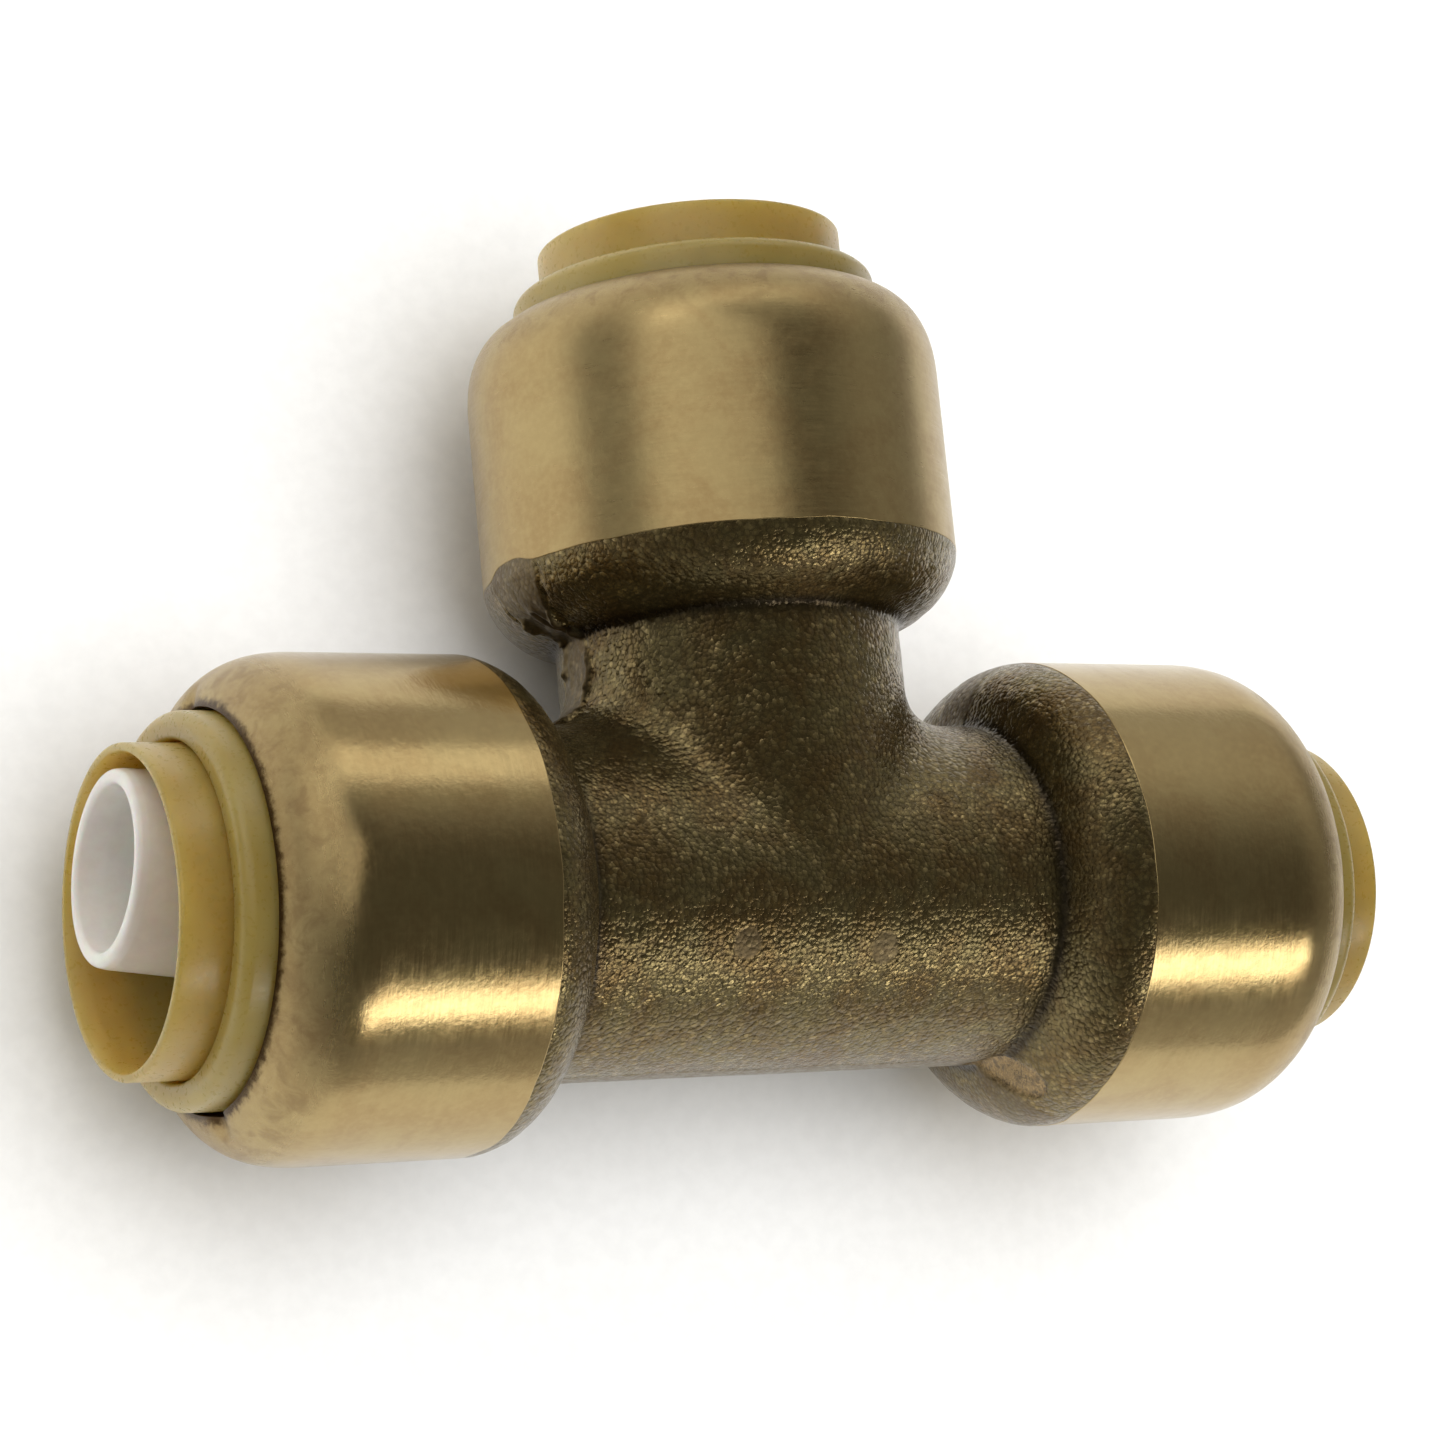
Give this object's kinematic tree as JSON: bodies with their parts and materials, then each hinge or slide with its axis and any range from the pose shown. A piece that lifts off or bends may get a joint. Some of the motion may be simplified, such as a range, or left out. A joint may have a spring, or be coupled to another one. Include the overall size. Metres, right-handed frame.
{
  "type": "push-fit tube tee",
  "caption": "Brass tee with a push-fit socket on each port, with a release collar, grab ring, O-ring and loose tube liner in each.",
  "frame": {"origin": "crossing of the run's and the branch's centre lines", "axes": "+X along the run towards the right port, +Y out of the branch port, +Z normal to the plane of the three tubes"},
  "size_m": [0.077, 0.0525, 0.027],
  "materials": {
    "body_brass": "sand-cast barrel with brown patina, sockets turned to a satin finish",
    "cream_acetal": "moulded cream acetal, slightly translucent",
    "white_plastic": "moulded white, slightly translucent",
    "stainless_spring": "stamped stainless sheet",
    "guard_plastic": "moulded black nylon",
    "seal_rubber": "moulded EPDM with a film of silicone grease"
  },
  "bodies": {
    "fitting": {"tee_body": "body_brass", "left_retaining_ring": "cream_acetal", "left_grab_ring": "stainless_spring", "left_guard_ring": "guard_plastic", "left_o_ring": "seal_rubber", "right_retaining_ring": "cream_acetal", "right_grab_ring": "stainless_spring", "right_guard_ring": "guard_plastic", "right_o_ring": "seal_rubber", "branch_retaining_ring": "cream_acetal", "branch_grab_ring": "stainless_spring", "branch_guard_ring": "guard_plastic", "branch_o_ring": "seal_rubber"},
    "left_collar": {"left_release_collar": "cream_acetal"},
    "left_liner": {"left_tube_liner": "white_plastic"},
    "right_collar": {"right_release_collar": "cream_acetal"},
    "right_liner": {"right_tube_liner": "white_plastic"},
    "branch_collar": {"branch_release_collar": "cream_acetal"},
    "branch_liner": {"branch_tube_liner": "white_plastic"}
  },
  "joints": [
    {"name": "left_collar_press", "type": "slide", "parent": "fitting", "child": "left_collar", "axis": [1, 0, 0], "range_m": [0, 0.0024], "stiffness_N_per_m": 400, "deforming": ["left_grab_ring"]},
    {"name": "right_collar_press", "type": "slide", "parent": "fitting", "child": "right_collar", "axis": [-1, 0, 0], "range_m": [0, 0.0024], "stiffness_N_per_m": 400, "deforming": ["right_grab_ring"]},
    {"name": "branch_collar_press", "type": "slide", "parent": "fitting", "child": "branch_collar", "axis": [0, -1, 0], "range_m": [0, 0.0024], "stiffness_N_per_m": 400, "deforming": ["branch_grab_ring"]},
    {"name": "left_liner_tilt", "type": "hinge", "parent": "fitting", "child": "left_liner", "pos_m": [-0.0134, 0, 0], "axis": [0, 0, 1], "range_deg": [0, 10.8]},
    {"name": "right_liner_tilt", "type": "hinge", "parent": "fitting", "child": "right_liner", "pos_m": [0.0134, 0, 0], "axis": [0, 0, -1], "range_deg": [0, 10.8]},
    {"name": "branch_liner_tilt", "type": "hinge", "parent": "fitting", "child": "branch_liner", "pos_m": [0, 0.0142, 0], "axis": [0, 0, 1], "range_deg": [-5.4, 5.4]}
  ]
}
